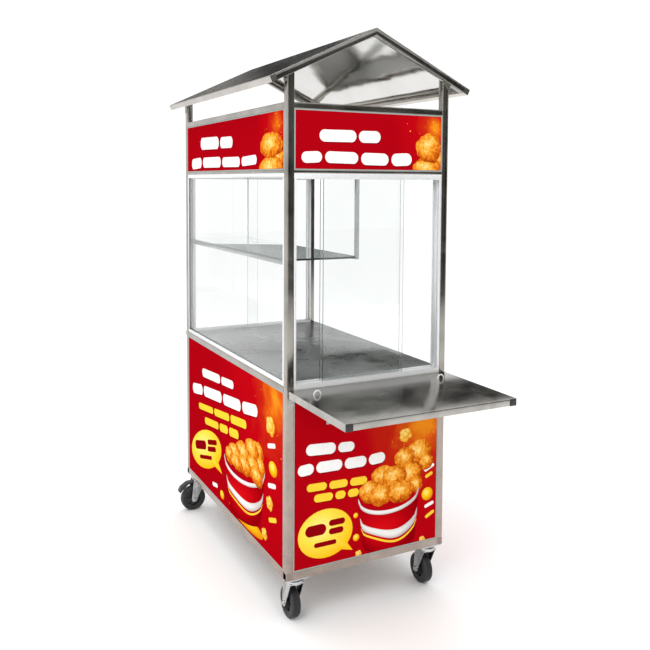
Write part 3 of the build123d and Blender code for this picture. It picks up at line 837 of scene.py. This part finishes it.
def embers(centre, reach, count, seed):
    draw = random.Random(seed)
    marks = []
    for i in range(count):
        spot = (centre[0] - abs(draw.gauss(0, reach[0])), centre[1] + draw.gauss(0, reach[1]))
        radius = draw.uniform(0.8, 2.6)
        marks.append(disc(spot, radius, 1, draw.choice((emberInk, yellowInk)), sides["ember"]))
    return marks


def frontArt():
    marks = wordBars(whiteInk, (-231, 590, 548), (-55, 574, 540), (0.64, 0.36), 2)
    marks += wordBars(whiteInk, (-260, 524, 483), (63, 524, 483), (0.18, 0.3, 0.26, 0.2), 2, 3)
    marks += wordBars(yellowInk, (-228, 459, 430), (-6, 451, 420), (0.38, 0.36, 0.34), 2)
    marks += wordBars(yellowInk, (-202, 421, 391), (-37, 415, 385), (0.4, 0.22, 0.24), 2)
    marks += bubble({"u": -159.5, "v": 284, "wide": 99.5, "tall": 81, "lean": 0, "tip": (-59, 208)})
    marks += heap([(200, 497, 52, 44), (142, 484, 42, 38), (60, 436, 48, 38), (4, 392, 38, 40),
                   (228, 460, 28, 30), (165, 424, 46, 42), (100, 424, 50, 42), (188, 388, 26, 30),
                   (50, 374, 50, 36), (126, 372, 52, 38)], 3, 11)
    marks += bucket({"u": 80, "v": 370, "half": 119, "drop": 59, "lean": 0, "rim": 7, "footDrop": 46,
                     "foot": ((-20, 212), (185, 201))})
    for centre, size, seed in (((143, 566), 27, 31), ((-37, 190), 13, 41), ((215, 186), 14, 51)):
        marks += popcorn(centre, size, 2, seed)
    for centre, radius in (((235, 345), 23), ((-48, 322), 9), ((-46, 247), 12)):
        marks.append(disc(centre, radius, 2, ballYellow))
    for a, b, shade in (((222, 428), (262, 446), whiteInk), ((226, 405), (256, 418), yellowInk),
                        ((224, 300), (262, 312), whiteInk), ((228, 262), (264, 280), yellowInk)):
        marks.append(pill(a, b, 6, 2, shade))
    return marks + embers((268, 600), (70, 60), 26, 3)


def leftArt():
    marks = wordBars(whiteInk, (-314, 663, 624), (48, 689, 657), (0.62, 0.38), 2, 0, 14)
    marks += wordBars(whiteInk, (-442, 573, 525), (282, 663, 615), (0.18, 0.3, 0.26, 0.2), 2, 4, 16)
    marks += wordBars(yellowInk, (-361, 508, 479), (178, 581, 543), (0.38, 0.36, 0.34), 2, 0, 14)
    marks += wordBars(yellowInk, (-283, 468, 436), (100, 521, 483), (0.4, 0.22, 0.24), 2, 0, 14)
    marks += bubble({"u": -273, "v": 335, "wide": 187, "tall": 80, "lean": 0.27, "tip": (-77, 298)})
    marks.append(disc((168, 216), 165, 2, ballYellow, sides["bubble"], 0.16))
    marks += heap([(285, 494, 52, 40), (232, 484, 62, 46), (145, 448, 72, 44), (62, 424, 66, 38),
                   (8, 400, 48, 32), (312, 452, 38, 34), (240, 428, 66, 42), (160, 410, 70, 36),
                   (80, 396, 66, 28), (275, 410, 58, 34)], 3, 71)
    marks += bucket({"u": 148.5, "v": 410.5, "half": 199.5, "drop": 65, "lean": 0.148, "rim": 7.5,
                     "footDrop": 36, "foot": ((8, 209), (313, 264))})
    for centre, size, seed in (((395, 620), 38, 81), ((344, 237), 24, 91), ((388, 358), 28, 95)):
        marks += popcorn(centre, size, 2, seed)
    for centre, radius in (((417, 483), 34), ((-78, 217), 22)):
        marks.append(disc(centre, radius, 2, ballYellow, tall=0.75))
    for a, b, shade in (((372, 548), (436, 566), whiteInk), ((376, 416), (440, 432), whiteInk),
                        ((382, 300), (446, 322), yellowInk), ((-190, 222), (-130, 232), whiteInk)):
        marks.append(pill(a, b, 8, 2, shade))
    return marks + embers((492, 700), (110, 70), 30, 5)


def frontSignArt():
    marks = wordBars(whiteInk, (-189, 1588, 1545), (33, 1588, 1545), (0.62, 0.38), 2)
    marks += wordBars(whiteInk, (-251, 1517, 1477), (154, 1521, 1473), (0.18, 0.3, 0.26, 0.2), 2, 3, 11)
    marks += heap([(258, 1492, 34, 32), (219, 1462, 62, 44), (222, 1536, 53, 47)], 2, 131)
    return marks + embers((268, 1600), (60, 30), 18, 7)


def leftSignArt():
    marks = wordBars(whiteInk, (-322, 1597, 1544), (44, 1584, 1541), (0.62, 0.38), 2, 0, 16)
    marks += wordBars(whiteInk, (-438, 1514, 1466), (275, 1512, 1478), (0.18, 0.3, 0.26, 0.2), 2, 4, 18)
    marks += heap([(452, 1496, 50, 34), (399, 1462, 100, 42), (399, 1538, 90, 43)], 2, 151)
    return marks + embers((492, 1606), (100, 32), 22, 9)


def sheetPlace(normal, low, high):
    # the panel's own axes: across to the viewer's right, up, and out of its face
    out = Vector(normal)
    across = Vector((0, 0, 1)).cross(out)
    centre = (low + high) / 2
    thick = abs((high - low).dot(out))
    face = centre + out * thick / 2
    place = Matrix((across, Vector((0, 0, 1)), out)).transposed().to_4x4()
    place.translation = (face.x, face.y, 0)
    return place, abs((high - low).dot(across)) / mm, low.z / mm, high.z / mm, thick / mm


def printPanel(name, art, glow, panels, replaced):
    # the plates of one design: each is a sheet with the same inks on its face
    place, wide, low, high, thick = sheetPlace(*panels[0])
    red = glowingRed(name + "_red", glow, wide / (high - low))
    press["drawn"] = -1
    plate = printedStrip(lambda s: ((s - 0.5) * wide, low), lambda s: ((s - 0.5) * wide, high), 0, red,
                         press["plateSteps"])
    modifier(plate, "SOLIDIFY", thickness=thick, offset=-1)
    easeEdges(plate, press["plateEase"], 1)
    plate.data.materials.append(sheetBack)
    for face in plate.data.polygons:
        face.material_index = 1 if face.normal.z < -0.5 else 0
    inks = joinAll(name + "_inks", art())
    editAll(inks)
    edge = press["margin"]
    for point, away in (((wide / 2 - edge, 0, 0), (1, 0, 0)), ((edge - wide / 2, 0, 0), (-1, 0, 0)),
                        ((0, high - edge, 0), (0, 1, 0)), ((0, low + edge, 0), (0, -1, 0))):
        bpy.ops.mesh.select_all(action="SELECT")
        bpy.ops.mesh.bisect(plane_co=point, plane_no=away, clear_outer=True)
    done()
    modifier(inks, "SOLIDIFY", thickness=press["ply"], offset=-1)
    shrink = Matrix.Scale(mm, 4)
    pieces = {"plate": [], "inks": []}
    for normal, corner, far in panels:
        where = sheetPlace(normal, corner, far)[0] @ shrink
        pieces["plate"].append(copyOf(plate, where))
        pieces["inks"].append(copyOf(inks, where))
    bpy.data.objects.remove(plate)
    bpy.data.objects.remove(inks)
    finish(joinAll(name + "_plates", pieces["plate"]), "root", "red_panel", None, *replaced)
    finish(joinAll(name + "_print", pieces["inks"]), "root", "red_panel")


signs = solidsOf("sign_panels")
signAt = {
    "left": min(signs, key=lambda b: b[0].x), "right": max(signs, key=lambda b: b[1].x),
    "front": min(signs, key=lambda b: b[1].y), "back": max(signs, key=lambda b: b[0].y),
}
out = {"left": (-1, 0, 0), "right": (1, 0, 0), "front": (0, -1, 0), "back": (0, 1, 0)}
printPanel("end_panel", frontArt, (0.90, 0.76),
           [(out["front"], *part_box("front_panel")), (out["back"], *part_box("rear_panel"))],
           ["front_panel", "rear_panel"])
printPanel("side_panel", leftArt, (0.96, 0.94), [(out["left"], *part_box("left_panel"))], ["left_panel"])
for name, art, faces in (("end_sign", frontSignArt, ("front", "back")),
                         ("side_sign", leftSignArt, ("left", "right"))):
    printPanel(name, art, (0.95, 0.8), [(out[face], *signAt[face]) for face in faces], ["sign_panels"])
print("printed panels")

wheel = {"radius": 0.052, "half": 0.016, "bore": 0.035, "round": 0.007, "rim": 0.030, "dish": 0.006,
         "face": 0.014, "boss": 0.011, "bossEnd": 0.0215, "axle": 0.0041, "ease": 0.001, "lip": 0.0008}
tread = {"lip": 0.0012, "wall": 0.002, "corner": 7, "turn": 15, "grooves": (0.0068, 0.0030), "deep": 0.0012,
         "mouth": 0.0006, "bed": 0.0004}
spoke = {"count": 6, "from": 0.0105, "to": 0.0305, "half": 0.0013, "low": 0.0055, "high": 0.0125,
         "ease": 0.0005}


def tyreProfile():
    # half the section from the bore out to the tread, then the same mirrored
    r, half, bend, bore = wheel["radius"], wheel["half"], wheel["round"], wheel["bore"]
    lip, groove, mouth, bed = (tread[key] for key in ("lip", "deep", "mouth", "bed"))
    side = [(bore, half - lip), (bore + lip, half), (r - bend - tread["wall"], half)]
    for i in range(tread["corner"]):
        t = math.radians(90 - tread["turn"] * i)
        side.append((r - bend + bend * math.cos(t), half - bend + bend * math.sin(t)))
    for place in tread["grooves"]:
        side += [(r, place + mouth), (r - groove, place + bed)]
        side += [(r - groove, place - bed), (r, place - mouth)]
    return side + [(radius, -along) for radius, along in reversed(side)]


def hubProfile():
    w, ease, lip = wheel, wheel["ease"], wheel["lip"]
    side = [(w["axle"], w["bossEnd"]), (w["boss"] - ease, w["bossEnd"]), (w["boss"], w["bossEnd"] - ease),
            (w["boss"] + ease, w["dish"]), (w["rim"] - ease, w["dish"]), (w["rim"], w["face"] - lip),
            (w["rim"] + lip, w["face"]), (w["bore"], w["face"])]
    return side + [(radius, -along) for radius, along in reversed(side)]


def wheelFor(corner):
    joint = joints["caster_wheel_" + corner]
    centre, axis = Vector(joint["pos_m"]), Vector(joint["axis"]).normalized()
    body = "wheel_" + corner
    tyre = lathe("tyre_" + corner, tyreProfile(), centre, axis)
    finish(tyre, body, "tyre_rubber", tyreRubber, "caster_tyre_" + corner)
    parts = [easeEdges(lathe("hub_" + corner, hubProfile(), centre, axis, 48), 0.0004, 2, 40)]
    turn = Vector((0, 0, 1)).rotation_difference(axis).to_matrix().to_4x4()
    for side in (-1, 1):
        for i in range(spoke["count"]):
            deep = sorted((side * spoke["low"], side * spoke["high"]))
            rib = cubeBetween("rib", (spoke["from"], -spoke["half"], deep[0]),
                              (spoke["to"], spoke["half"], deep[1]))
            easeEdges(rib, spoke["ease"])
            spun = Matrix.Rotation(2 * math.pi * i / spoke["count"], 4, "Z")
            parts.append(copyOf(rib, Matrix.Translation(centre) @ turn @ spun))
            bpy.data.objects.remove(rib)
    finish(joinAll("wheel_hub_" + corner, parts), body, "hub_plastic", hubPlastic, "caster_hub_" + corner)


bolt = {"sides": 6, "radius": 0.0062, "tall": 0.0018, "end": 0.030, "sunk": 0.4}


def boltHeads(corner):
    # a hexagon on each end of the axle bolt
    joint = joints["caster_wheel_" + corner]
    centre, axis = Vector(joint["pos_m"]), Vector(joint["axis"]).normalized()
    heads = []
    for side in (-1, 1):
        deselectAll()
        bpy.ops.mesh.primitive_cylinder_add(vertices=bolt["sides"], radius=bolt["radius"],
                                            depth=bolt["tall"])
        head = bpy.context.object
        easeEdges(head, 0.0004, 2, 20)
        turn = Vector((0, 0, 1)).rotation_difference(axis * side).to_matrix().to_4x4()
        spot = Matrix.Translation(centre + axis * side * (bolt["end"] - bolt["sunk"] * bolt["tall"]))
        heads.append(copyOf(head, spot @ turn))
        bpy.data.objects.remove(head)
    return heads


for corner in ("front_left", "front_right", "rear_left", "rear_right"):
    wheelFor(corner)
    fork = softened("caster_fork_" + corner, 0.0006)
    forkWhole = joinAll("fork_" + corner, [fork] + boltHeads(corner))
    finish(forkWhole, "fork_" + corner, "caster_zinc", zinc, "caster_fork_" + corner)
for side in ("left", "right"):
    easedPiece("brake_pedal_rear_" + side, 0.0008, "black_plastic", blackPlastic)
easedPiece("caster_plates", 0.0006, "caster_zinc", zinc)
print("casters")

handle = mergedCopy("push_handle")
done()
finish(smooth(handle, 40), "root", "handle_steel", handleSteel, "push_handle")

screw = {"dome": 5, "rim": 0.25, "cross": 0.62, "slot": 0.16, "deep": 0.55}


def panHead(radius, tall):
    # a low domed head with a cross recess, its seat at the origin and its crown along +Z
    rim = screw["rim"]
    profile = [(0.0, 0.0), (radius, 0.0), (radius, rim * tall)]
    for i in range(1, screw["dome"]):
        t = i / screw["dome"] * math.pi / 2
        profile.append((radius * math.cos(t), tall * (rim + (1 - rim) * math.sin(t))))
    profile.append((0.0, tall))
    head = lathe("pan_head", profile, (0, 0, 0), (0, 0, 1), 24)
    for turn in (0, 1):
        size = (screw["cross"] * radius, screw["slot"] * radius)
        x, y = size if turn else size[::-1]
        cutter = cubeBetween("cross", (-x, -y, tall * (1 - screw["deep"])), (x, y, tall * 2))
        modifier(head, "BOOLEAN", object=cutter, operation="DIFFERENCE", solver="EXACT")
        bpy.data.objects.remove(cutter)
    return smooth(head, 30)


def frameScrews():
    heads = []
    for low, high in solidsOf("frame_screws"):
        size, centre = high - low, (low + high) / 2
        thin = [size[i] for i in range(3)].index(min(size))
        away = Vector((0, 0, 0))
        away[thin] = -1 if centre[thin] < 0 else 1
        head = panHead(max(size) / 2, min(size))
        seat = centre - away * min(size) / 2
        turn = Vector((0, 0, 1)).rotation_difference(away).to_matrix().to_4x4()
        heads.append(copyOf(head, Matrix.Translation(seat) @ turn))
        bpy.data.objects.remove(head)
    finish(joinAll("frame_screw_heads", heads), "root", "hinge_steel", hingeSteel, "frame_screws")


frameScrews()
print("handle and screws")

studio = {
    "floorHalf": 14.0,
    "floorAt": (0, 4, 0),
    "floorShade": (0.97, 0.97, 0.97, 1),
    "skyStrength": 1.06,
    "middle": (0, 0.16),
    "eye": (-1.2887, -2.5632, 1.4229),
    "yaw": 27.0,
    "pitch": -3.70,
    "roll": 0.32,
    "lens": 43.4,
    "shiftY": -0.143,
    "sensor": 36,
}
deselectAll()
bpy.ops.mesh.primitive_plane_add(size=2 * studio["floorHalf"], location=studio["floorAt"])
floor = bpy.context.object
floor.name = "studioFloor"
applyPlace(floor)
floorPaint, _, floorShader = newMaterial("studio_floor")
floorShader.inputs["Base Color"].default_value = studio["floorShade"]
floorShader.inputs["Roughness"].default_value = 0.8
floorShader.inputs["Specular IOR Level"].default_value = 0.1
floor.data.materials.append(floorPaint)

cardPaint, cardTree, cardShader = newMaterial("studio_card")
cardShader.inputs["Roughness"].default_value = 0.9
bands = noise(cardTree, objectPoints(cardTree, (2.2, 2.2, 0.25)), 1.0, 3.0, 0.6)
cardTree.links.new(ramp(cardTree, bands, [(0.42, (0.012, 0.012, 0.011)), (0.62, (0.16, 0.155, 0.145))]),
                   cardShader.inputs["Base Color"])


def darkCard(name, place, wide, tall, behindGlass=False):
    # a dark flag for the polished metal to reflect; rays through the glass meet it too if it is
    # behindGlass, but the camera, the shadows and the diffuse light don't
    deselectAll()
    bpy.ops.mesh.primitive_plane_add(size=1)
    card = bpy.context.object
    card.name = name
    card.scale = (wide, tall, 1)
    card.location = place
    facing = Vector((*studio["middle"], place[2])) - Vector(place)
    card.rotation_euler = facing.to_track_quat("Z", "Y").to_euler()
    applyPlace(card)
    card.data.materials.append(cardPaint)
    card.visible_camera = False
    card.visible_transmission = behindGlass
    card.visible_shadow = False
    card.visible_diffuse = False


darkCard("cardFrontRight", (2.5, -4.6, 1.75), 3.4, 3.0)
darkCard("cardBackRight", (3.0, 5.2, 2.9), 5.6, 2.5, True)


def areaLight(name, place, target, size, power):
    deselectAll()
    bpy.ops.object.light_add(type="AREA", location=place)
    lamp = bpy.context.object
    lamp.name = name
    lamp.data.shape = "RECTANGLE"
    lamp.data.size, lamp.data.size_y = size
    lamp.data.energy = power
    lamp.rotation_euler = (Vector(target) - Vector(place)).to_track_quat("-Z", "Y").to_euler()


areaLight("keyLight", (-2.6, -2.2, 3.6), (0, 0, 0.9), (1.6, 2.4), 55)
areaLight("topLight", (0.0, 0.6, 4.2), (0, 0, 0), (3.0, 3.0), 60)
world = bpy.data.worlds.new("studioWorld")
world.use_nodes = True
world.node_tree.nodes["Background"].inputs["Color"].default_value = (1, 1, 1, 1)
world.node_tree.nodes["Background"].inputs["Strength"].default_value = studio["skyStrength"]
bpy.context.scene.world = world

bpy.ops.object.camera_add(location=studio["eye"])
camera = bpy.context.object
yaw = math.radians(studio["yaw"])
pitch = math.radians(studio["pitch"])
forward = Vector((math.sin(yaw) * math.cos(pitch), math.cos(yaw) * math.cos(pitch), math.sin(pitch)))
level = forward.to_track_quat("-Z", "Y").to_matrix()
camera.rotation_euler = (Matrix.Rotation(math.radians(-studio["roll"]), 3, forward) @ level).to_euler()
camera.data.lens = studio["lens"]
camera.data.sensor_width = studio["sensor"]
camera.data.shift_y = studio["shiftY"]
bpy.context.scene.camera = camera
bpy.context.scene.view_settings.view_transform = "Standard"
print("studio")
